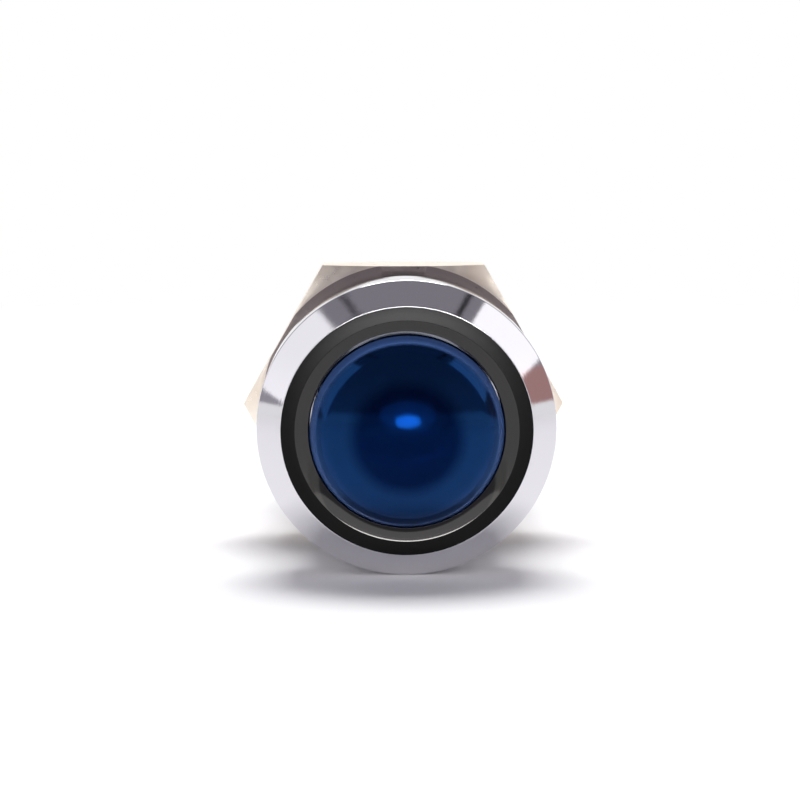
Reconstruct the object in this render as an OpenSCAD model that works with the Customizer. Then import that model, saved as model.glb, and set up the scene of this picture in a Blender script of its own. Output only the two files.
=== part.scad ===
// Panel pilot light for a 12 mm hole: a turned bezel with a domed lens, a sealed 5 mm LED insert
// and a hexagon nut on a fine thread. The lamp axis lies along Y with the lens towards -Y.
// The origin is on the lamp axis, at the flange face that seats on the panel.

/* [Bezel] */
// How far the flange stands out over the thread, all round
flange_step = 1.05; // [0.95:0.05:3]
// Height of the flange's straight side
rim_h = 1.9; // [1:0.05:4]
// Height of the bevel between the side and the front face
bevel_h = 0.65; // [0.3:0.05:1.2]
// Width of that bevel, seen from the front
bevel_w = 1.13; // [0.6:0.01:1.3]
// Width of the flat land inside the bevel
land_w = 0.67; // [0.2:0.01:0.7]
// Depth of the shallow dish between the land and the lens
dish_depth = 0.12; // [0:0.01:0.4]
// Rounding of the flange's two outer edges
rim_round = 0.08; // [0.02:0.01:0.3]

/* [Barrel] */
// Crest diameter of the thread
thread_d = 11.9; // [11.5:0.05:12]
// Thread pitch
thread_pitch = 0.75; // [0.5:0.05:1]
// Chamfer at the barrel's rear end
barrel_chamfer = 0.5; // [0.1:0.05:0.6]

/* [Lens] */
// Diameter of the lens in its pocket
lens_d = 9; // [8.9:0.05:10.2]
// Width of the ledge in the bore that carries the lens and its seal
ledge_w = 0.4; // [0.2:0.05:0.5]
// Depth of the pocket behind the front face
pocket_depth = 2.75; // [2.2:0.05:3.2]
// Wall of the lens
lens_wall = 0.7; // [0.5:0.05:1]
// How far the lens shoulder stands in front of the face
shoulder_h = 0.57; // [0.3:0.01:1.2]
// How far the shoulder leans in
shoulder_lean = 0.25; // [0.05:0.01:0.5]
// Height of the lens crown above its shoulder
crown_h = 0.9; // [0.7:0.05:1.5]
// Radius of the crown's rolled edge
crown_roll = 1.8; // [1.2:0.1:2.2]
// Thickness of the seal behind the lens
seal_t = 0.4; // [0.2:0.05:0.6]

/* [Nut and gasket] */
// Thickness of the nut
nut_t = 2.45; // [1.5:0.05:4]
// How much the circle where the corner chamfers start is wider than the nut's flats
nut_face_over = 0.2; // [-0.6:0.1:0.8]
// Angle of the corner chamfers
nut_chamfer_deg = 30; // [15:1:35]
// Distance from the flange seat to the nut as it is screwed on
nut_gap = 4.46; // [1.5:0.01:9]
// Width of the panel gasket's ring
gasket_w = 0.5; // [0.3:0.05:0.8]
// Thickness of the panel gasket
gasket_t = 0.9; // [0.5:0.05:1.4]
// Running clearance of nut and gasket on the thread crests, at the radius
thread_clear = 0.05; // [0.02:0.01:0.09]

/* [Reflector] */
// Depth of the reflector's bowl
bowl_depth = 3.9; // [3:0.1:5]
// Wall of the reflector
bowl_wall = 0.4; // [0.3:0.05:0.6]
// Height of the rim band that centres the reflector in the bore
bowl_band_h = 1; // [0.5:0.1:2]

/* [LED] */
// Diameter of the LED's body
led_d = 5; // [4.6:0.05:5.2]
// Height of the LED from the underside of its flange to its tip
led_h = 8.6; // [8:0.1:9]
// How far the LED's flange stands out over its body, all round
led_flange_w = 0.4; // [0.3:0.05:0.6]
// Thickness of the LED's flange
led_flange_t = 1; // [0.8:0.1:1.2]
// Gap between the LED's tip and the plane at the back of the lens
led_tip_gap = 0.8; // [0.2:0.1:1.5]
// Distance between the LED's two leads
lead_pitch = 2.54; // [2:0.02:2.54]
// Side of the square leads
lead_w = 0.5; // [0.4:0.05:0.6]
// Length of lead below the board
lead_tail = 0.7; // [0.5:0.1:0.8]
// Height of the lead frame's top inside the epoxy
frame_h = 4.6; // [3:0.1:5]
// Height of the anvil
anvil_h = 1.5; // [1:0.1:2]
// Diameter of the cup's mouth
cup_d = 1; // [0.8:0.1:1.1]
// Depth of the cup
cup_depth = 0.35; // [0.2:0.05:0.5]
// Side of the square die
die_side = 0.32; // [0.2:0.02:0.4]
// Thickness of the die
die_t = 0.15; // [0.1:0.01:0.2]

/* [Board] */
// Thickness of the spacer's floor under the LED
spacer_floor = 1.4; // [1:0.1:2]
// Thickness of the circuit board
board_t = 0.8; // [0.6:0.1:1]
// Length of each chip resistor
resistor_l = 1.6; // [1.2:0.1:1.8]
// Width of each chip resistor
resistor_w = 0.8; // [0.6:0.1:1]
// Height of each chip resistor
resistor_h = 0.45; // [0.3:0.05:0.6]
// Length of the diode's body
diode_l = 1.7; // [1.2:0.1:2]
// Width of the diode's body
diode_w = 1.25; // [1:0.05:1.3]
// Height of the diode's body
diode_h = 0.9; // [0.6:0.1:1]
// Gap between the two resistors
chip_gap = 1.8; // [1:0.1:2]
// Distance from the lamp's axis to the middle of the resistors
chip_y = 2.1; // [1.9:0.05:2.3]
// Gap between the diode and the middle of the lower lead
diode_gap = 0.85; // [0.75:0.05:1]
// Height of the solder cones
solder_h = 0.45; // [0.3:0.05:0.6]

/* [Rear] */
// Clear space between the tallest piece on the board and the plug
rear_space = 0.6; // [0.45:0.05:2]
// Width of each terminal's pin in the board
pin_w = 0.6; // [0.4:0.05:0.6]
// How far each pin stands through the front of the board
pin_stub = 0.4; // [0.1:0.1:0.8]
// How much wider the tab's stop shoulders are, on each side
tab_stop_w = 0.2; // [0.1:0.05:0.3]
// Height of the stop shoulders
tab_stop_h = 0.4; // [0.2:0.05:0.4]
// Distance between the two terminals
terminal_pitch = 4.8; // [4.4:0.1:5]
// Width of each terminal tab
terminal_w = 1.8; // [1.4:0.1:2]
// Thickness of each terminal tab
terminal_t = 0.5; // [0.4:0.05:0.6]
// Length of the tab behind the plug
terminal_len = 5; // [3.5:0.1:8]
// Diameter of the wire eye in each tab
eye_d = 1; // [0.6:0.05:1.1]
// Distance from the tab's end to the middle of its eye
eye_inset = 1.25; // [0.9:0.05:2]
// Length of the plug's part inside the bore
plug_depth = 1.6; // [1:0.1:1.8]
// Thickness of the plug's lip behind the barrel
lip_t = 1; // [0.7:0.1:1.6]
// How far the plug's lip stays inside the thread's crest, all round
lip_inset = 0.65; // [0.5:0.05:0.9]
// Depth of the resin pool in the plug
pool_depth = 0.4; // [0.2:0.05:0.6]

/* [Fits] */
// Radial clearance of each piece that is pushed into a bore
push_fit = 0.05; // [0.02:0.01:0.1]
// Radial clearance of the board in the bore
board_fit = 0.1; // [0.05:0.01:0.2]
// Clearance around a lead or tab in its hole
lead_fit = 0.06; // [0.02:0.01:0.1]

/* [Hidden] */
$fn = 96;

// Heights along the lamp axis, measured forwards from the flange seat
face_z = rim_h + bevel_h;
seat_z = face_z - pocket_depth;
lens_z = seat_z + seal_t;
shoulder_z = face_z + shoulder_h;
apex_z = shoulder_z + crown_h;
bowl_floor_z = lens_z - bowl_depth;
led_tip_z = lens_z - led_tip_gap;
led_base_z = led_tip_z - led_h;
led_flange_z = led_base_z + led_flange_t;
board_z = led_base_z - spacer_floor;
board_back_z = board_z - board_t;
plug_z = board_back_z - max(lead_tail, diode_h, resistor_h, solder_h) - rear_space;
barrel_end_z = plug_z - plug_depth;
plug_back_z = barrel_end_z - lip_t;
pool_z = plug_back_z + pool_depth;
tab_stop_z = plug_z + tab_stop_h;
tab_end_z = plug_back_z - terminal_len;
frame_z = led_base_z + frame_h;
cup_z = frame_z - cup_depth;

// Radii
thread_r = thread_d / 2;
flange_r = thread_r + flange_step;
face_r = flange_r - bevel_w;
dish_r = face_r - land_w;
lens_r = lens_d / 2;
pocket_r = lens_r + push_fit;
cavity_r = lens_r - ledge_w;
insert_r = cavity_r - push_fit;
shoulder_r = lens_r - shoulder_lean;
roll_deg = 40;
roll_x = shoulder_r - crown_roll * sin(roll_deg);
roll_drop = crown_h + crown_roll * cos(roll_deg);
crown_r = (pow(roll_x, 2) + pow(roll_drop, 2) - pow(crown_roll, 2)) / (2 * (roll_drop - crown_roll));
roll_end_deg = asin(roll_x / (crown_r - crown_roll));
nut_bore_r = thread_r + thread_clear;
gasket_r = nut_bore_r + gasket_w;
lip_r = thread_r - lip_inset;
led_r = led_d / 2;
led_hole_r = led_r + push_fit;
led_flange_r = led_r + led_flange_w;
bowl_tube_r = led_hole_r + bowl_wall;
lens_cavity_r = lens_r - lens_wall;
lead_hole_r = lead_w / sqrt(2) + lead_fit;
pin_hole_r = norm([pin_w, terminal_t]) / 2 + lead_fit;
pool_wall = 0.2;
pool_r = insert_r - pool_wall;
cup_r = cup_d / 2;
cup_wall = 0.15;

// The nut's flats stand level with the flange's edge, so the lamp lies flat on both
nut_af = 2 * flange_r;

// Places across the axis: the leads stand above and below it, the terminals left and right
lead_y = lead_pitch / 2;
terminal_x = terminal_pitch / 2;
anvil_y = -lead_y - lead_w / 2;
chip_x = resistor_l / 2 + chip_gap / 2;
diode_y = -lead_y - diode_w / 2 - diode_gap;

// The countersink at each end of the nut's bore is as deep as the thread
nut_countersink = thread_pitch * 0.6;

// How far a cut runs past the face that it opens, and past a face that it only meets
over = 1;
seam = 0.001;

// The axis points forwards: local +Z becomes world -Y, and local +Y becomes world +Z
module along_lamp() {
    rotate([90, 0, 0]) children();
}

// Points of an arc about (cx, cy), from angle a0 to a1
function arc(cx, cy, r, a0, a1, steps = 6) =
    [for (i = [0:steps]) let (a = a0 + (a1 - a0) * i / steps) [cx + r * cos(a), cy + r * sin(a)]];

// Turned brass: flange, dished face, lens pocket, insert bore and threaded barrel
module bezel_housing() {
    bevel_deg = atan2(bevel_w, bevel_h);
    side_top_z = rim_h - rim_round * tan(bevel_deg / 2);
    color("gainsboro") along_lamp() rotate_extrude() polygon(concat(
        [[cavity_r, barrel_end_z], [cavity_r, seat_z], [pocket_r, seat_z],
            [pocket_r, face_z - dish_depth], [dish_r, face_z], [face_r, face_z]],
        arc(flange_r - rim_round, side_top_z, rim_round, bevel_deg, 0, 4),
        arc(flange_r - rim_round, rim_round, rim_round, 0, -90, 4),
        [[thread_r, 0], [thread_r, barrel_end_z + barrel_chamfer],
            [thread_r - barrel_chamfer, barrel_end_z]]
    ));
}

// Crown of the lens, in section: a circle centred on the axis that runs into the rolled edge
module crown_section(inset) {
    translate([0, apex_z - crown_r]) circle(r = crown_r - inset, $fn = 180);
}

// Moulded tinted cap: a straight skirt, a leaning shoulder and a shallow crown with a rolled edge
module lens() {
    skirt_top_z = face_z - dish_depth;
    roll_end_x = roll_x + crown_roll * sin(roll_end_deg);
    color("midnightblue") along_lamp() rotate_extrude() difference() {
        intersection() {
            polygon(concat(
                [[0, lens_z], [lens_r, lens_z], [lens_r, skirt_top_z]],
                arc(roll_x, apex_z - roll_drop, crown_roll, 90 - roll_deg, 90 - roll_end_deg),
                [[roll_end_x, apex_z], [0, apex_z]]
            ));
            crown_section(0);
        }
        intersection() {
            polygon([[-over, lens_z - over], [lens_cavity_r, lens_z - over], [lens_cavity_r, face_z],
                [lens_cavity_r - shoulder_lean, shoulder_z], [-over, shoulder_z + crown_h]]);
            crown_section(lens_wall);
        }
    }
}

// Flat ring between the pocket's floor and the lens
module lens_seal() {
    color("dimgray") along_lamp() translate([0, 0, seat_z]) difference() {
        cylinder(r = lens_r, h = seal_t);
        translate([0, 0, -over]) cylinder(r = cavity_r, h = seal_t + 2 * over);
    }
}

// Metallised bowl with a tube behind it that centres the LED
module reflector() {
    mouth_r = insert_r - bowl_wall / 2;
    bowl_curve = 0.6;
    waist_z = lens_z - bowl_band_h;
    color("silver") along_lamp() rotate_extrude() polygon(concat(
        [[led_hole_r, led_flange_z], [led_hole_r, bowl_floor_z]],
        [for (i = [0:10]) let (t = i / 10)
            [led_hole_r + (mouth_r - led_hole_r) * pow(t, bowl_curve), bowl_floor_z + bowl_depth * t]],
        [[insert_r, lens_z], [insert_r, waist_z], [bowl_tube_r, bowl_floor_z - bowl_wall],
            [bowl_tube_r, led_flange_z]]
    ));
}

// Square lead from the top of the lead frame down through the board
module led_lead(side) {
    tail_z = board_back_z - lead_tail;
    translate([-lead_w / 2, side * lead_y - lead_w / 2, tail_z])
        cube([lead_w, lead_w, frame_z - tail_z]);
}

// Lead, anvil block reaching to the axis and the cup that holds the die there
module anvil_form() {
    difference() {
        union() {
            led_lead(-1);
            translate([-lead_w / 2, anvil_y, frame_z - anvil_h]) cube([lead_w, -anvil_y, anvil_h]);
            translate([0, 0, frame_z - anvil_h / 2]) cylinder(r = cup_r + cup_wall, h = anvil_h / 2);
        }
        translate([0, 0, cup_z]) cylinder(r1 = cup_r / 2, r2 = cup_r, h = cup_depth + seam);
    }
}

// Square chip on the cup's floor
module die_form() {
    translate([-die_side / 2, -die_side / 2, cup_z]) cube([die_side, die_side, die_t]);
}

module led_anode_post() {
    color("lightgray") along_lamp() led_lead(1);
}

module led_cathode_anvil() {
    color("lightgray") along_lamp() anvil_form();
}

module led_die() {
    color("khaki") along_lamp() die_form();
}

// Clear epoxy body with its dome, its flange and the flat on the cathode side
module led_body() {
    dome_z = led_tip_z - led_r;
    flat_y = -led_r - led_flange_w / 8;
    color("lightsteelblue") along_lamp() difference() {
        union() {
            rotate_extrude() {
                translate([0, led_base_z]) square([led_r, dome_z - led_base_z]);
                intersection() {
                    translate([0, dome_z]) circle(r = led_r);
                    translate([0, dome_z]) square(led_r);
                }
            }
            translate([0, 0, led_base_z]) cylinder(r = led_flange_r, h = led_flange_t);
        }
        translate([-led_flange_r, flat_y - led_flange_r, led_base_z - over])
            cube([2 * led_flange_r, led_flange_r, led_flange_t + over]);
        led_lead(1);
        anvil_form();
        die_form();
    }
}

// Moulded collar that holds the LED's flange and stands it off the board
module led_spacer() {
    stub_hole_r = pin_hole_r + 2 * push_fit;
    color("ivory") along_lamp() difference() {
        translate([0, 0, board_z]) cylinder(r = insert_r, h = led_flange_z - board_z);
        translate([0, 0, led_base_z]) cylinder(r = led_flange_r + push_fit, h = led_flange_t + over);
        for (side = [-1, 1]) {
            translate([0, side * lead_y, board_z - over])
                cylinder(r = lead_hole_r, h = spacer_floor + 2 * over);
            translate([side * terminal_x, 0, board_z - over])
                cylinder(r = stub_hole_r, h = pin_stub + lead_fit + over);
        }
    }
}

// Round board with holes for the LED's leads and the terminals' pins
module circuit_board() {
    color("darkgreen") along_lamp() difference() {
        translate([0, 0, board_back_z]) cylinder(r = cavity_r - board_fit, h = board_t);
        for (side = [-1, 1]) {
            translate([0, side * lead_y, board_back_z - over])
                cylinder(r = lead_hole_r, h = board_t + 2 * over);
            translate([side * terminal_x, 0, board_back_z - over])
                cylinder(r = pin_hole_r, h = board_t + 2 * over);
        }
    }
}

// Chip resistor on the back of the board
module chip_resistor(side) {
    color("black") along_lamp()
        translate([side * chip_x - resistor_l / 2, chip_y - resistor_w / 2, board_back_z - resistor_h])
            cube([resistor_l, resistor_w, resistor_h]);
}

module series_resistor_1() {
    chip_resistor(-1);
}

module series_resistor_2() {
    chip_resistor(1);
}

// Diode on the back of the board, with its two flat leads
module reverse_diode() {
    foot_l = 0.35;
    foot_w = 0.35;
    foot_t = 0.15;
    span = diode_l + 2 * foot_l;
    color("black") along_lamp() translate([0, diode_y, board_back_z]) {
        translate([-diode_l / 2, -diode_w / 2, -diode_h]) cube([diode_l, diode_w, diode_h]);
        translate([-span / 2, -foot_w / 2, -foot_t]) cube([span, foot_w, foot_t]);
    }
}

// Solder cones round the LED's leads and the terminals' pins
module solder_joints() {
    cone_r = 0.62;
    tip_r = 0.4;
    color("lightslategray") along_lamp() for (side = [-1, 1]) {
        difference() {
            translate([0, side * lead_y, board_back_z - solder_h])
                cylinder(r1 = tip_r, r2 = cone_r, h = solder_h);
            led_lead(side);
        }
        difference() {
            translate([side * terminal_x, 0, board_back_z - solder_h])
                cylinder(r1 = tip_r, r2 = cone_r, h = solder_h);
            translate([side * terminal_x - pin_w / 2, -terminal_t / 2, board_back_z - over])
                cube([pin_w, terminal_t, 2 * over]);
        }
    }
}

// Half of the flat tab's outline, from the board pin to the rounded end
function tab_half(nose) = [
    [pin_w / 2, board_z + pin_stub], [pin_w / 2, tab_stop_z],
    [terminal_w / 2 + tab_stop_w, tab_stop_z], [terminal_w / 2 + tab_stop_w, plug_z],
    [terminal_w / 2, plug_z], [terminal_w / 2, tab_end_z + nose],
    [terminal_w / 2 - nose, tab_end_z]
];

// Solder tab: a pin in the board, stop shoulders on the plug, a blade and the eye for the wire
module terminal(side) {
    half = tab_half(terminal_w / 4);
    other_half = [for (i = [len(half) - 1:-1:0]) [-half[i][0], half[i][1]]];
    eye_z = tab_end_z + eye_inset;
    color("lightgoldenrodyellow") along_lamp() translate([side * terminal_x, 0, 0])
        rotate([90, 0, 0]) difference() {
            linear_extrude(terminal_t, center = true) polygon(concat(half, other_half));
            translate([0, eye_z, -terminal_t]) cylinder(d = eye_d, h = 2 * terminal_t);
        }
}

module terminal_positive() {
    terminal(1);
}

module terminal_negative() {
    terminal(-1);
}

// Slots that the two tabs pass through, with a clearance on every side
module tab_slots(clear) {
    for (side = [-1, 1]) {
        translate([side * terminal_x - terminal_w / 2 - clear, -terminal_t / 2 - clear, tab_end_z])
            cube([terminal_w + 2 * clear, terminal_t + 2 * clear, plug_z - tab_end_z + over]);
    }
}

// Moulded plug: a spigot in the bore, a lip on the barrel's end and a pool for the resin
module rear_plug() {
    lip_round = 0.3;
    lead_in = 0.2;
    color("black") along_lamp() difference() {
        rotate_extrude() polygon(concat(
            [[0, plug_z], [insert_r - lead_in, plug_z], [insert_r, plug_z - lead_in],
                [insert_r, barrel_end_z], [lip_r, barrel_end_z]],
            arc(lip_r - lip_round, plug_back_z + lip_round, lip_round, 0, -90, 5),
            [[pool_r, plug_back_z], [pool_r, pool_z], [0, pool_z]]
        ));
        tab_slots(lead_fit);
    }
}

// Resin that seals the tabs into the plug, filled to just under the lip
module potting_resin() {
    fill_gap = 0.05;
    color("darkslategray") along_lamp() difference() {
        translate([0, 0, plug_back_z + fill_gap]) cylinder(r = pool_r, h = pool_depth - fill_gap);
        tab_slots(0);
    }
}

// Flat rubber ring on the thread, lying against the nut
module panel_gasket() {
    color("darkgray") along_lamp() translate([0, 0, -nut_gap]) difference() {
        cylinder(r = gasket_r, h = gasket_t);
        translate([0, 0, -over]) cylinder(r = nut_bore_r, h = gasket_t + 2 * over);
    }
}

// Hexagon nut with both faces chamfered and a countersunk bore
module hex_nut() {
    corner_r = nut_af / 2 / cos(30);
    chamfer_r = (nut_af + nut_face_over) / 2;
    chamfer_h = (corner_r - chamfer_r) * tan(nut_chamfer_deg);
    sink_r = nut_bore_r + nut_countersink;
    color("antiquewhite") along_lamp() translate([0, 0, -nut_gap - nut_t]) difference() {
        intersection() {
            cylinder(r = corner_r, h = nut_t, $fn = 6);
            rotate_extrude() polygon([[0, 0], [chamfer_r, 0], [corner_r, chamfer_h],
                [corner_r, nut_t - chamfer_h], [chamfer_r, nut_t], [0, nut_t]]);
        }
        translate([0, 0, -over]) cylinder(r = nut_bore_r, h = nut_t + 2 * over);
        cylinder(r1 = sink_r, r2 = nut_bore_r, h = nut_countersink);
        translate([0, 0, nut_t - nut_countersink])
            cylinder(r1 = nut_bore_r, r2 = sink_r, h = nut_countersink);
    }
}

bezel_housing();
lens();
lens_seal();
reflector();
led_body();
led_anode_post();
led_cathode_anvil();
led_die();
led_spacer();
circuit_board();
series_resistor_1();
series_resistor_2();
reverse_diode();
solder_joints();
terminal_positive();
terminal_negative();
rear_plug();
potting_resin();
panel_gasket();
hex_nut();
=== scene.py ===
"""Looks of the panel pilot light: fine meshes over the CAD frame, finishes and a pale studio."""
import math

import bpy
import bmesh
from mathutils import Matrix, Vector


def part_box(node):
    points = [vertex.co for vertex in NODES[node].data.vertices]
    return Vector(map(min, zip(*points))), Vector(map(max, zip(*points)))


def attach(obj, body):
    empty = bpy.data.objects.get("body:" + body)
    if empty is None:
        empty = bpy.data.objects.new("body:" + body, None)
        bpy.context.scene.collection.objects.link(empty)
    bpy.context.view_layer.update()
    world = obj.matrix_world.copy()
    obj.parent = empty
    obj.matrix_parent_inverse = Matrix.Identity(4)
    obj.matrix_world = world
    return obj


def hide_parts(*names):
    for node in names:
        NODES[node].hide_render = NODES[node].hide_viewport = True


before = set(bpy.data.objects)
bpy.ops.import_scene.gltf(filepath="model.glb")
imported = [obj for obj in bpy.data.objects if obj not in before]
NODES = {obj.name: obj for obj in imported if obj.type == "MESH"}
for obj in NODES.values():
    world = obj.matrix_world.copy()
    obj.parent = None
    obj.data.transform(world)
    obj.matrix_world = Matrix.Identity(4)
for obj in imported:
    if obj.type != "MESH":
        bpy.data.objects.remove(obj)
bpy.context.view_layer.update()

MM = 0.001

# ---------------------------------------------------------------- sizes, in millimetres

# Front of the bezel housing, from its rim inwards: bevel, flat land, shallow dish
BEVEL_W = 1.13
BEVEL_H = 0.65
LAND_W = 0.67
DISH_DEPTH = 0.12
RIM_ROUND = 0.08
EDGE_ROUND = 0.05
DISH_ROUND = 0.3

# Its bores, barrel and thread
POCKET_FIT = 0.05
POCKET_FLOOR = 0.2
CAVITY_R = 4.1
NECK_LEN = 0.9
BARREL_CHAMFER = 0.5
THREAD_R = 5.95
THREAD_PITCH = 0.75
THREAD_DEPTH = 0.44

# Dish and land painted dark, a painted reflection of dark surroundings: from the first radius to the last,
# in front of a plane
RING_BACK_Y = -2.3
RING_INNER_R = 4.54
DISH_R = 5.2
RING_OUTER_R = 5.85

# Lens
LENS_WALL = 0.7
SHOULDER_H = 0.57
SHOULDER_LEAN = 0.25
SKIRT_ROUND = 0.06
CROWN_H = 0.9
CROWN_ROLL = 1.8
ROLL_SLOPE = math.radians(40)

# Nut
NUT_BORE_R = 6.0
NUT_COUNTERSINK = 0.45
NUT_FACE_OVER = 0.2
NUT_CHAMFER = math.radians(30)
NUT_OVERHANG = 0.3

# ---------------------------------------------------------------- fineness of the meshes

COLUMNS = 256
ROUND_STEPS = 5
ROLL_STEPS = 24
CROWN_STEPS = 48
ROWS_PER_PITCH = 10
BEND_STEPS = 12
WELD = 0.0005 * MM
SLIVER = 0.0002 * MM
SHORT_EDGE = 0.001 * MM
ON_PLANE = 1e-9
SHARP = math.radians(32)
LENS_SHARP = math.radians(28)

# ---------------------------------------------------------------- colours

CHROME = (0.69, 0.68, 0.71)
# Near-black base colours of the dish and land: painted reflection of dark surroundings
DISH_PAINTED_DARK = (0.048, 0.047, 0.046)
LAND_PAINTED_DARK = (0.01, 0.0098, 0.01)
LENS_BODY = (0.018, 0.035, 0.1)
LENS_EDGE = (0.14, 0.3, 0.8)
LENS_DEEP = (0.003, 0.06, 0.34)
LENS_SHEEN = (0.05, 0.28, 0.95)
NICKEL = (0.8, 0.72, 0.64)
NICKEL_CLEAN = (0.96, 0.89, 0.8)
NICKEL_STAINED = (0.84, 0.73, 0.61)
# Painted shade on the nut's face towards the flange
NICKEL_FRONT_PAINTED_SHADE = (0.34, 0.29, 0.28)
FLOOR_PLAIN = (0.8, 0.8, 0.8)
FLOOR_SEEN = (0.95, 0.95, 0.95)
FLAG_BLACK = (0.01, 0.01, 0.01)
ROOM_COLOR = (0.93, 0.89, 1.0)
WARM_COLOR = (0.98, 0.56, 0.54)

# ---------------------------------------------------------------- studio, in millimetres and degrees

FLOOR_SIZE = 1500
FLOOR_BEND = 120
WALL_Y = 420
WALL_H = 500
SIDE_WALL_FROM_Y = -300
SHADOWS_TO = 40
WHITE_FROM = 110

# Strength of the room at the horizon, and from a height up, which is the sine of its elevation
ROOM_LOW = 0.4
ROOM_HIGH = 0.28
ROOM_HIGH_FROM = 0.42

# Warm stretch of wall: strength, azimuths and top
WARM_LEVEL = 0.46
WARM_FROM = 50
WARM_TO = 78
WARM_TOP = 13.5

FLAG_WIDTH = 12
FLAG_LENGTH = 150

CAMERA_LENS = 74.4
CAMERA_SENSOR = 36
CAMERA_SHIFT_X = -0.0086
CAMERA_SHIFT_Y = 0.0376
CAMERA_AZIMUTH = -1.33
CAMERA_ELEVATION = 11.35
CAMERA_DISTANCE = 77
CAMERA_TARGET_Y = -1.9
CAMERA_NEAR = 1
CAMERA_FAR = 10000


def box_mm(node):
    """Lowest and highest corner of a CAD node, in millimetres."""
    low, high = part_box(node)
    return Vector(low) / MM, Vector(high) / MM


# ---------------------------------------------------------------- mesh helpers

def rounded(corners):
    """Outline from corners (radius, y, rounding): each rounding becomes an arc."""
    outline = []
    count = len(corners)
    for i, (r, y, rounding) in enumerate(corners):
        here = Vector((r, y))
        if rounding == 0:
            outline.append(here)
            continue
        before = (Vector(corners[i - 1][:2]) - here).normalized()
        after = (Vector(corners[(i + 1) % count][:2]) - here).normalized()
        half = math.acos(max(-1, min(1, before.dot(after)))) / 2
        centre = here + (before + after).normalized() * rounding / math.sin(half)
        start = here + before * rounding / math.tan(half) - centre
        turn = start.angle_signed(here + after * rounding / math.tan(half) - centre)
        for k in range(ROUND_STEPS + 1):
            a = -turn * k / ROUND_STEPS
            spun = Vector((start.x * math.cos(a) - start.y * math.sin(a),
                           start.x * math.sin(a) + start.y * math.cos(a)))
            outline.append(centre + spun)
    return outline


def arc_points(centre_r, centre_y, radius, first, last, steps):
    """Points (radius, y) of an arc that bulges forwards, from one slope to another."""
    points = []
    for k in range(steps + 1):
        slope = first + (last - first) * k / steps
        points.append(Vector((centre_r + radius * math.sin(slope), centre_y - radius * math.cos(slope))))
    return points


def ring_point(r, y, column):
    """Point of a turned piece, in metres. The columns run from +X towards +Z."""
    angle = 2 * math.pi * column / COLUMNS
    return Vector((r * math.cos(angle), y, r * math.sin(angle))) * MM


def turn_outline(bm, outline, closed=True):
    """Faces of an outline of (radius, y) spun about the Y axis."""
    rings = []
    for r, y in outline:
        rings.append([bm.verts.new(ring_point(r, y, j)) for j in range(COLUMNS)])
    spans = len(rings) if closed else len(rings) - 1
    for i in range(spans):
        a, b = rings[i], rings[(i + 1) % len(rings)]
        for j in range(COLUMNS):
            k = (j + 1) % COLUMNS
            bm.faces.new((a[j], a[k], b[k], b[j]))


def mesh_object(bm, name):
    """Object from a bmesh, put into the scene."""
    mesh = bpy.data.meshes.new(name)
    bm.to_mesh(mesh)
    bm.free()
    obj = bpy.data.objects.new(name, mesh)
    bpy.context.scene.collection.objects.link(obj)
    return obj


def finish_mesh(bm, name, sharp=SHARP):
    """Object from a bmesh: welded, facing out, smooth apart from its sharp edges, normals by face area."""
    bmesh.ops.remove_doubles(bm, verts=bm.verts, dist=WELD)
    bmesh.ops.dissolve_degenerate(bm, edges=bm.edges, dist=SLIVER)
    bmesh.ops.recalc_face_normals(bm, faces=bm.faces)
    for face in bm.faces:
        face.smooth = True
    for edge in bm.edges:
        edge.smooth = len(edge.link_faces) == 2 and edge.calc_face_angle(0) < sharp
    obj = mesh_object(bm, name)
    weighted = obj.modifiers.new("weighted_normals", "WEIGHTED_NORMAL")
    weighted.keep_sharp = True
    return obj


def stand_for(obj, node, body, material):
    """The piece rides on the body, replaces the CAD node and takes its finish."""
    obj.data.materials.append(material)
    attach(obj, body)
    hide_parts(node)
    return obj


# ---------------------------------------------------------------- node helpers

class Nodes:
    """A node tree, with short calls that add nodes to it and return their outputs."""

    def __init__(self, tree):
        self.tree = tree

    def node(self, kind, **settings):
        new = self.tree.nodes.new(kind)
        for key, value in settings.items():
            setattr(new, key, value)
        return new

    def link(self, source, target):
        self.tree.links.new(source, target)

    def feed(self, socket, value):
        """Links an output to the socket, or sets the socket to a number or a colour."""
        if hasattr(value, "is_output"):
            self.link(value, socket)
        elif isinstance(value, tuple):
            socket.default_value = (*value, 1)
        else:
            socket.default_value = value

    def math(self, operation, a, b=None):
        new = self.node("ShaderNodeMath", operation=operation)
        self.feed(new.inputs[0], a)
        if b is not None:
            self.feed(new.inputs[1], b)
        return new.outputs[0]

    def range(self, source, low, high, to_low, to_high, interpolation="LINEAR"):
        new = self.node("ShaderNodeMapRange", interpolation_type=interpolation)
        self.link(source, new.inputs["Value"])
        for key, value in (("From Min", low), ("From Max", high), ("To Min", to_low), ("To Max", to_high)):
            new.inputs[key].default_value = value
        return new.outputs["Result"]

    def split(self, vector):
        """The outputs X, Y and Z of a vector."""
        new = self.node("ShaderNodeSeparateXYZ")
        self.link(vector, new.inputs[0])
        return new.outputs

    def vector(self, x, y, z):
        new = self.node("ShaderNodeCombineXYZ")
        for socket, value in zip(new.inputs, (x, y, z)):
            self.feed(socket, value)
        return new.outputs[0]

    def mix_colors(self, factor, first, second):
        new = self.node("ShaderNodeMix", data_type="RGBA")
        self.link(factor, new.inputs["Factor"])
        for key, value in (("A", first), ("B", second)):
            socket = [item for item in new.inputs if item.name == key and item.type == "RGBA"][0]
            self.feed(socket, value)
        return [item for item in new.outputs if item.type == "RGBA"][0]

    def mix_shaders(self, factor, first, second):
        new = self.node("ShaderNodeMixShader")
        for socket, source in zip(new.inputs, (factor, first, second)):
            self.link(source, socket)
        return new.outputs[0]


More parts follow.
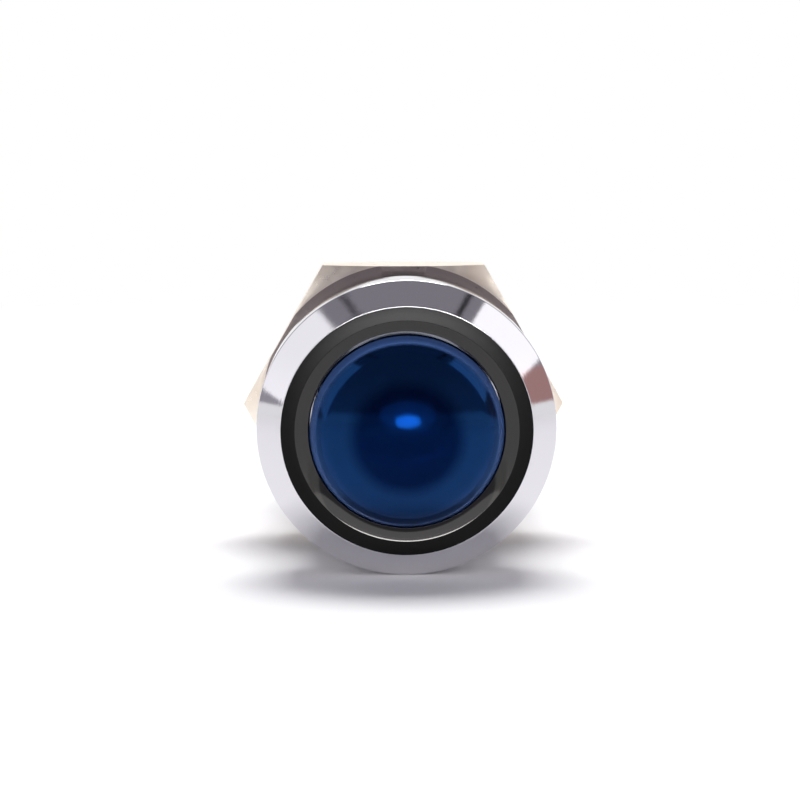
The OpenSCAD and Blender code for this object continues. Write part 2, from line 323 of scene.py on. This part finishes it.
class Finish(Nodes):
    """A material being built round one Principled shader."""

    def __init__(self, name, color, metallic=0.0, roughness=0.5, ior=1.5, transmission=0.0):
        self.material = bpy.data.materials.new(name)
        self.material.use_nodes = True
        super().__init__(self.material.node_tree)
        self.shader = self.tree.nodes["Principled BSDF"]
        self.shader.inputs["Base Color"].default_value = (*color, 1)
        self.shader.inputs["Metallic"].default_value = metallic
        self.shader.inputs["Roughness"].default_value = roughness
        self.shader.inputs["IOR"].default_value = ior
        self.shader.inputs["Transmission Weight"].default_value = transmission
        self.position = self.node("ShaderNodeTexCoord").outputs["Object"]

    def set(self, socket, source):
        """Drives a socket of the shader."""
        self.link(source, self.shader.inputs[socket])

    def finish_with(self, shader):
        """Sends a shader to the output in place of the plain one."""
        self.link(shader, self.tree.nodes["Material Output"].inputs["Surface"])

    def radius_mm(self):
        """Distance from the lamp's axis, in millimetres."""
        xyz = self.split(self.position)
        squares = self.math("ADD", self.math("MULTIPLY", xyz["X"], xyz["X"]),
                            self.math("MULTIPLY", xyz["Z"], xyz["Z"]))
        return self.math("MULTIPLY", self.math("SQRT", squares), 1 / MM)

    def distance_mm(self):
        """Distance from the origin, in millimetres."""
        length = self.node("ShaderNodeVectorMath", operation="LENGTH")
        self.link(self.position, length.inputs[0])
        return self.math("MULTIPLY", length.outputs["Value"], 1 / MM)

    def noise(self, scale, detail=4.0, vector=None):
        """Noise with about scale cells to the metre, unless it has a vector of its own."""
        new = self.node("ShaderNodeTexNoise")
        new.inputs["Scale"].default_value = scale
        new.inputs["Detail"].default_value = detail
        self.link(self.position if vector is None else vector, new.inputs["Vector"])
        return new.outputs["Fac"]

    def spread(self, noise, to_low, to_high):
        """Noise, which mostly lies between 0.3 and 0.7, stretched to a range of values."""
        return self.range(noise, 0.3, 0.7, to_low, to_high)

    def bump(self, height, strength, distance_mm):
        new = self.node("ShaderNodeBump")
        new.inputs["Strength"].default_value = strength
        new.inputs["Distance"].default_value = distance_mm * MM
        self.link(height, new.inputs["Height"])
        self.set("Normal", new.outputs["Normal"])


# ---------------------------------------------------------------- finishes

def chrome_finish():
    """Bright plating with turning marks, and round the lens a ring whose near-black colour is a painted
    reflection of dark surroundings, the dish a little less dark, with a satin land.
    """
    marks_to_mm, marks_deep_to_mm = 12.0, 9.0
    f = Finish("bezel_chrome", CHROME, metallic=1.0, roughness=0.05)
    radius = f.radius_mm()
    along = f.split(f.position)["Y"]
    in_front = f.math("LESS_THAN", along, RING_BACK_Y * MM)
    inside = f.math("MULTIPLY", f.math("LESS_THAN", radius, RING_OUTER_R),
                    f.math("GREATER_THAN", radius, RING_INNER_R))
    ring = f.math("MULTIPLY", in_front, inside)
    past_dish = f.math("GREATER_THAN", radius, DISH_R)
    # Painted reflection: dish and land get a near-black base colour in place of the dark surroundings the
    # plating reflects
    f.set("Base Color", f.mix_colors(ring, CHROME, f.mix_colors(past_dish, DISH_PAINTED_DARK, LAND_PAINTED_DARK)))
    turned = f.vector(f.math("MULTIPLY", radius, marks_to_mm),
                      f.math("MULTIPLY", along, marks_deep_to_mm / MM), 0.0)
    marks = f.noise(1.0, detail=6, vector=turned)
    f.bump(f.math("MULTIPLY", marks, f.math("SUBTRACT", 1.0, ring)), strength=0.5, distance_mm=0.01)
    bright_roughness = f.spread(marks, 0.03, 0.08)
    land_roughness = f.math("MULTIPLY", f.math("MULTIPLY", ring, past_dish), 0.2)
    f.set("Roughness", f.math("MAXIMUM", bright_roughness, land_roughness))
    return f.material


def lens_finish():
    """Clear blue plastic: deeper over the crown, and a little milky at the moulded edge."""
    deep_to, sheen_from = 2.2, 2.9
    clear_to, milky_from = 4.16, 4.28
    clear, milky = 0.97, 0.55
    f = Finish("lens_blue", LENS_BODY, roughness=0.09, ior=1.9, transmission=clear)
    radius = f.radius_mm()
    f.set("Specular Tint", f.mix_colors(f.range(radius, deep_to, sheen_from, 0, 1), LENS_DEEP, LENS_SHEEN))
    edge = f.range(radius, clear_to, milky_from, 0, 1)
    f.set("Base Color", f.mix_colors(edge, LENS_BODY, LENS_EDGE))
    f.set("Transmission Weight", f.range(edge, 0, 1, clear, milky))
    f.bump(f.noise(900.0, detail=2), strength=0.02, distance_mm=0.02)
    return f.material


def reflector_finish():
    """Metallised plastic, slightly uneven."""
    f = Finish("reflector_silver", (0.85, 0.87, 0.9), metallic=1.0, roughness=0.1)
    f.bump(f.noise(2500.0, detail=3), strength=0.15, distance_mm=0.01)
    return f.material


def epoxy_finish():
    """Clear casting resin of the LED."""
    f = Finish("led_epoxy", (0.75, 0.85, 1.0), roughness=0.03, ior=1.55, transmission=1.0)
    f.bump(f.noise(700.0, detail=2), strength=0.03, distance_mm=0.02)
    return f.material


def nickel_finish():
    """Nickel plate, warm and slightly stained; the face towards the panel gets a much darker base colour,
    painted shade for the shadowed gap behind the flange.
    """
    facing_front = -0.98
    stain_low, stain_high = 0.35, 0.7
    f = Finish("nut_nickel", NICKEL, metallic=1.0, roughness=0.25)
    scratch = f.noise(1800.0, detail=5)
    normal = f.split(f.node("ShaderNodeNewGeometry").outputs["True Normal"])
    front = f.math("LESS_THAN", normal["Y"], facing_front)
    stain = f.range(f.noise(260.0, detail=5), stain_low, stain_high, 0, 1)
    plate = f.mix_colors(stain, NICKEL_CLEAN, NICKEL_STAINED)
    # Painted shade: the face towards the panel, behind the flange, gets a dark base colour
    f.set("Base Color", f.mix_colors(front, plate, NICKEL_FRONT_PAINTED_SHADE))
    f.bump(scratch, strength=0.06, distance_mm=0.01)
    f.set("Roughness", f.spread(scratch, 0.26, 0.4))
    return f.material


def plain_finish(name, color, roughness, metallic=0.0, grain=1500.0, depth=0.1):
    """One colour with a fine grain, which also varies the roughness by a fifth."""
    f = Finish(name, color, metallic=metallic, roughness=roughness)
    grain_noise = f.noise(grain)
    f.bump(grain_noise, strength=depth, distance_mm=0.02)
    f.set("Roughness", f.spread(grain_noise, roughness * 0.8, min(1, roughness * 1.2)))
    return f.material


# ---------------------------------------------------------------- bezel housing

def thread_depth(phase):
    """0 on the crest and 1 in the root. The phase counts pitches."""
    crest, flank, root = 0.16, 0.34, 0.16
    phase %= 1
    if phase < crest:
        return 0.0
    if phase < crest + flank:
        return (phase - crest) / flank
    if phase < crest + flank + root:
        return 1.0
    return (1 - phase) / (1 - crest - flank - root)


def thread_rows(bm, start_y, end_y):
    """Threaded skin of the barrel between two plain circles: rows that follow the right-hand helix."""
    run_out = THREAD_PITCH
    turns = math.ceil((end_y - start_y) / THREAD_PITCH) + 1
    rows = []
    for i in range(turns * ROWS_PER_PITCH + 1):
        phase = i / ROWS_PER_PITCH
        row = []
        for j in range(COLUMNS + 1):
            y = start_y + (phase - j / COLUMNS) * THREAD_PITCH
            y = min(max(y, start_y), end_y)
            fade = min(1, (y - start_y) / run_out, (end_y - y) / run_out)
            r = THREAD_R - THREAD_DEPTH * thread_depth(phase) * max(0, fade)
            row.append(bm.verts.new(ring_point(r, y, j)))
        rows.append(row)
    for a, b in zip(rows, rows[1:]):
        for j in range(COLUMNS):
            k = j + 1
            if (a[j].co - b[j].co).length > SHORT_EDGE or (a[k].co - b[k].co).length > SHORT_EDGE:
                bm.faces.new((a[j], a[k], b[k], b[j]))


def make_bezel():
    """Turned housing: flange with bevel, land and dish, stepped bore, and a threaded barrel."""
    low, high = box_mm("bezel_housing")
    face_y, flange_r, end_y = low.y, high.x, high.y
    pocket_r = box_mm("lens")[1].x + POCKET_FIT
    face_r = flange_r - BEVEL_W
    dish_r = face_r - LAND_W
    thread_end = end_y - BARREL_CHAMFER
    corners = [
        (THREAD_R, thread_end, 0),
        (THREAD_R - BARREL_CHAMFER, end_y, 0),
        (CAVITY_R, end_y, 0),
        (CAVITY_R, POCKET_FLOOR, 0),
        (pocket_r, POCKET_FLOOR, 0),
        (pocket_r, face_y + DISH_DEPTH, EDGE_ROUND),
        (dish_r, face_y, DISH_ROUND),
        (face_r, face_y, EDGE_ROUND),
        (flange_r, face_y + BEVEL_H, RIM_ROUND),
        (flange_r, 0, RIM_ROUND),
        (THREAD_R, 0, 0),
        (THREAD_R, NECK_LEN, 0),
    ]
    bm = bmesh.new()
    turn_outline(bm, rounded(corners), closed=False)
    thread_rows(bm, NECK_LEN, thread_end)
    bezel = finish_mesh(bm, "bezel")
    return stand_for(bezel, "bezel_housing", "lamp", chrome_finish())


# ---------------------------------------------------------------- lens

def make_lens():
    """Moulded cap: straight skirt, leaning shoulder, rolled edge, shallow crown and an even wall."""
    low, high = box_mm("lens")
    top_y, back_y, lens_r = low.y, high.y, high.x
    shoulder_y = top_y + CROWN_H
    skirt_y = shoulder_y + SHOULDER_H + DISH_DEPTH
    shoulder_r = lens_r - SHOULDER_LEAN
    roll_r = shoulder_r - CROWN_ROLL * math.sin(ROLL_SLOPE)
    roll_drop = CROWN_H + CROWN_ROLL * math.cos(ROLL_SLOPE)
    crown_r = (roll_r ** 2 + roll_drop ** 2 - CROWN_ROLL ** 2) / (2 * (roll_drop - CROWN_ROLL))
    roll_end = math.asin(roll_r / (crown_r - CROWN_ROLL))
    crown_y = top_y + crown_r
    outline = rounded([(lens_r, back_y, 0), (lens_r, skirt_y, SKIRT_ROUND), (shoulder_r, shoulder_y, 0)])
    outline += arc_points(roll_r, top_y + roll_drop, CROWN_ROLL, ROLL_SLOPE, roll_end, ROLL_STEPS)[1:]
    outline += arc_points(0, crown_y, crown_r, roll_end, 0, CROWN_STEPS)[1:]
    cavity_r = lens_r - LENS_WALL
    inner_r = cavity_r - SHOULDER_LEAN
    inner_crown = crown_r - LENS_WALL
    outline += arc_points(0, crown_y, inner_crown, 0, math.asin(inner_r / inner_crown), CROWN_STEPS)
    outline += [Vector((cavity_r, skirt_y - DISH_DEPTH)), Vector((cavity_r, back_y))]
    bm = bmesh.new()
    turn_outline(bm, outline)
    # The crease where the shoulder meets the roll turns by less than SHARP, and it has to stay sharp.
    lens = finish_mesh(bm, "lens_cap", sharp=LENS_SHARP)
    return stand_for(lens, "lens", "lamp", lens_finish())


# ---------------------------------------------------------------- hexagon nut

def make_nut():
    """Turned blank with chamfered faces and a countersunk bore, cut to six flats."""
    low, high = box_mm("hex_nut")
    front_y, back_y, half_af = low.y, high.y, high.z
    half_side = math.radians(30)
    corner_r = half_af / math.cos(half_side)
    blank_r = corner_r + NUT_OVERHANG
    face_r = half_af + NUT_FACE_OVER / 2
    drop = (blank_r - face_r) * math.tan(NUT_CHAMFER)
    outline = [
        (NUT_BORE_R, front_y + NUT_COUNTERSINK),
        (NUT_BORE_R + NUT_COUNTERSINK, front_y),
        (face_r, front_y),
        (blank_r, front_y + drop),
        (blank_r, back_y - drop),
        (face_r, back_y),
        (NUT_BORE_R + NUT_COUNTERSINK, back_y),
        (NUT_BORE_R, back_y - NUT_COUNTERSINK),
    ]
    bm = bmesh.new()
    turn_outline(bm, outline)
    bmesh.ops.recalc_face_normals(bm, faces=bm.faces)
    for side in range(6):
        angle = (2 * side + 1) * half_side
        normal = Vector((math.cos(angle), 0, math.sin(angle)))
        cut = bmesh.ops.bisect_plane(bm, geom=bm.verts[:] + bm.edges[:] + bm.faces[:], dist=ON_PLANE,
                                     plane_co=normal * half_af * MM, plane_no=normal, clear_outer=True)
        edges = [item for item in cut["geom_cut"] if isinstance(item, bmesh.types.BMEdge)]
        bmesh.ops.edgeloop_fill(bm, edges=edges)
    return stand_for(finish_mesh(bm, "nut"), "hex_nut", "nut", nickel_finish())


# ---------------------------------------------------------------- carried-over CAD nodes

def dress_nodes():
    """Finishes for the CAD nodes that show as they are."""
    tin = plain_finish("lead_tin", (0.75, 0.74, 0.72), 0.25, metallic=1.0)
    chips = plain_finish("resistor_black", (0.03, 0.03, 0.03), 0.4)
    tabs = plain_finish("terminal_tin", (0.42, 0.405, 0.38), 0.6, metallic=1.0, grain=5000.0, depth=0.03)
    finishes = {
        "reflector": reflector_finish(),
        "led_body": epoxy_finish(),
        "led_anode_post": tin,
        "led_cathode_anvil": tin,
        "led_die": plain_finish("die_yellow", (0.8, 0.7, 0.25), 0.4),
        "led_spacer": plain_finish("spacer_nylon", (0.8, 0.78, 0.7), 0.5),
        "circuit_board": plain_finish("board_green", (0.02, 0.16, 0.06), 0.4),
        "series_resistor_1": chips,
        "series_resistor_2": chips,
        "reverse_diode": plain_finish("diode_black", (0.03, 0.03, 0.03), 0.5),
        "solder_joints": plain_finish("solder_tin", (0.75, 0.75, 0.76), 0.3, metallic=1.0),
        "terminal_positive": tabs,
        "terminal_negative": tabs,
        "rear_plug": plain_finish("plug_black", (0.02, 0.02, 0.02), 0.45),
        "potting_resin": plain_finish("resin_dark", (0.015, 0.018, 0.02), 0.15),
        "lens_seal": plain_finish("seal_rubber", (0.03, 0.03, 0.032), 0.6),
        "panel_gasket": plain_finish("gasket_rubber", (0.025, 0.025, 0.025), 0.7),
    }
    for node, material in finishes.items():
        materials = NODES[node].data.materials
        materials.clear()
        materials.append(material)


# ---------------------------------------------------------------- studio

def floor_finish():
    """Pale floor that keeps its shadows near the lamp and turns to plain white further off, where seen."""
    f = Finish("floor_white", FLOOR_PLAIN, roughness=0.9)
    f.shader.inputs["Specular IOR Level"].default_value = 0
    path = f.node("ShaderNodeLightPath")
    seen = f.math("MAXIMUM", path.outputs["Is Camera Ray"], path.outputs["Is Glossy Ray"])
    seen = f.math("MAXIMUM", seen, path.outputs["Is Transmission Ray"])
    pale = f.node("ShaderNodeBsdfDiffuse")
    f.feed(pale.inputs["Color"], FLOOR_SEEN)
    white = f.node("ShaderNodeEmission")
    far = f.range(f.distance_mm(), SHADOWS_TO, WHITE_FROM, 0, 1)
    near_or_far = f.mix_shaders(far, pale.outputs[0], white.outputs[0])
    f.finish_with(f.mix_shaders(seen, f.shader.outputs[0], near_or_far))
    return f.material


def make_floor():
    """Sweep: flat under the lamp, curved up behind it into a wall, with plain walls to both sides."""
    floor_z = box_mm("bezel_housing")[0].z
    top_z = floor_z + WALL_H
    bend_y = WALL_Y - FLOOR_BEND
    section = [(-FLOOR_SIZE, floor_z), (bend_y, floor_z)]
    for k in range(1, BEND_STEPS + 1):
        a = math.pi / 2 * k / BEND_STEPS
        section.append((bend_y + FLOOR_BEND * math.sin(a), floor_z + FLOOR_BEND * (1 - math.cos(a))))
    section.append((WALL_Y, top_z))
    side_wall = ((SIDE_WALL_FROM_Y, floor_z), (WALL_Y, floor_z), (WALL_Y, top_z), (SIDE_WALL_FROM_Y, top_z))
    bm = bmesh.new()
    lines = [[bm.verts.new(Vector((x, y, z)) * MM) for x in (-FLOOR_SIZE, FLOOR_SIZE)] for y, z in section]
    for a, b in zip(lines, lines[1:]):
        bm.faces.new((a[0], a[1], b[1], b[0])).smooth = True
    for x in (-FLOOR_SIZE, FLOOR_SIZE):
        bm.faces.new([bm.verts.new(Vector((x, y, z)) * MM) for y, z in side_wall])
    floor = mesh_object(bm, "floor")
    floor.data.materials.append(floor_finish())


def direction(azimuth, elevation):
    """Unit vector: azimuth 0 is in front of the lamp and 90 to its right."""
    az, el = math.radians(azimuth), math.radians(elevation)
    return Vector((math.sin(az) * math.cos(el), -math.cos(az) * math.cos(el), math.sin(el)))


def soft_box(name, azimuth, elevation, distance, width, height, radiance, turn=0, shape="RECTANGLE"):
    """Area light that faces the lamp, turned about the line to it. Sizes in millimetres."""
    light = bpy.data.lights.new(name, "AREA")
    light.shape = shape
    light.size = width * MM
    light.size_y = height * MM
    light.energy = radiance * math.pi * width * height * MM ** 2
    obj = bpy.data.objects.new(name, light)
    towards = direction(azimuth, elevation)
    obj.location = towards * distance * MM
    facing = towards.to_track_quat("Z", "Y").to_matrix() @ Matrix.Rotation(math.radians(turn), 3, "Z")
    obj.rotation_euler = facing.to_euler()
    bpy.context.scene.collection.objects.link(obj)
    return obj


def make_flag(name, light, offset):
    """Black strip in the plane of a soft box, to one side of its middle: a dark line in the chrome."""
    x, y = FLAG_WIDTH / 2, FLAG_LENGTH / 2
    corners = ((offset - x, -y), (offset + x, -y), (offset + x, y), (offset - x, y))
    bm = bmesh.new()
    bm.faces.new([bm.verts.new(Vector((across, along, 0)) * MM) for across, along in corners])
    flag = mesh_object(bm, name)
    flag.location = light.location
    flag.rotation_euler = light.rotation_euler
    flag.data.materials.append(plain_finish(name, FLAG_BLACK, 0.9))


def make_world():
    """Grey room whose walls are paler towards the floor, with a warm stretch of wall to the right."""
    world = bpy.data.worlds.new("studio")
    world.use_nodes = True
    w = Nodes(world.node_tree)
    towards = w.split(w.node("ShaderNodeTexCoord").outputs["Generated"])
    room = w.tree.nodes["Background"]
    w.feed(room.inputs["Color"], ROOM_COLOR)
    w.feed(room.inputs["Strength"],
           w.range(towards["Z"], 0, ROOM_HIGH_FROM, ROOM_LOW, ROOM_HIGH, interpolation="SMOOTHSTEP"))
    warm = w.node("ShaderNodeBackground")
    w.feed(warm.inputs["Color"], WARM_COLOR)
    w.feed(warm.inputs["Strength"], WARM_LEVEL)
    azimuth = w.math("ARCTAN2", towards["X"], w.math("MULTIPLY", towards["Y"], -1))
    across = w.math("MULTIPLY", w.math("GREATER_THAN", azimuth, math.radians(WARM_FROM)),
                    w.math("LESS_THAN", azimuth, math.radians(WARM_TO)))
    under_top = w.math("LESS_THAN", towards["Z"], math.sin(math.radians(WARM_TOP)))
    walls = w.mix_shaders(w.math("MULTIPLY", across, under_top), room.outputs[0], warm.outputs[0])
    w.link(walls, w.tree.nodes["World Output"].inputs["Surface"])
    bpy.context.scene.world = world


def make_camera():
    """Camera in front of the lamp and a little above, where the photo was taken from."""
    camera = bpy.data.cameras.new("camera")
    camera.lens = CAMERA_LENS
    camera.sensor_width = CAMERA_SENSOR
    camera.shift_x = CAMERA_SHIFT_X
    camera.shift_y = CAMERA_SHIFT_Y
    camera.clip_start = CAMERA_NEAR * MM
    camera.clip_end = CAMERA_FAR * MM
    obj = bpy.data.objects.new("camera", camera)
    target = Vector((0, CAMERA_TARGET_Y, 0)) * MM
    obj.location = target + CAMERA_DISTANCE * MM * direction(CAMERA_AZIMUTH, CAMERA_ELEVATION)
    obj.rotation_euler = (target - obj.location).to_track_quat("-Z", "Y").to_euler()
    bpy.context.scene.collection.objects.link(obj)
    bpy.context.scene.camera = obj


def make_studio():
    """Room, floor, two soft boxes with their flags, a light above, two in front, and the camera."""
    bpy.context.scene.view_settings.view_transform = "Standard"
    make_world()
    make_floor()
    right = soft_box("right_box", azimuth=52.8, elevation=27.0, turn=-60.9, distance=260,
                     width=146, height=136, radiance=1.15)
    left = soft_box("left_box", azimuth=-53.4, elevation=20.5, turn=65.9, distance=260,
                    width=183, height=136, radiance=0.9)
    make_flag("right_flag", right, offset=-107)
    make_flag("left_flag", left, offset=152)
    soft_box("top_box", azimuth=180, elevation=74, distance=260, width=170, height=82, radiance=15.5)
    soft_box("front_lamp", azimuth=1.3, elevation=-2.5, distance=70,
             width=15, height=7.5, radiance=14.0, shape="ELLIPSE")
    soft_box("front_glow", azimuth=1.3, elevation=0.2, distance=72,
             width=34, height=18, radiance=0.9, shape="ELLIPSE")
    make_camera()


make_bezel()
make_lens()
make_nut()
dress_nodes()
make_studio()
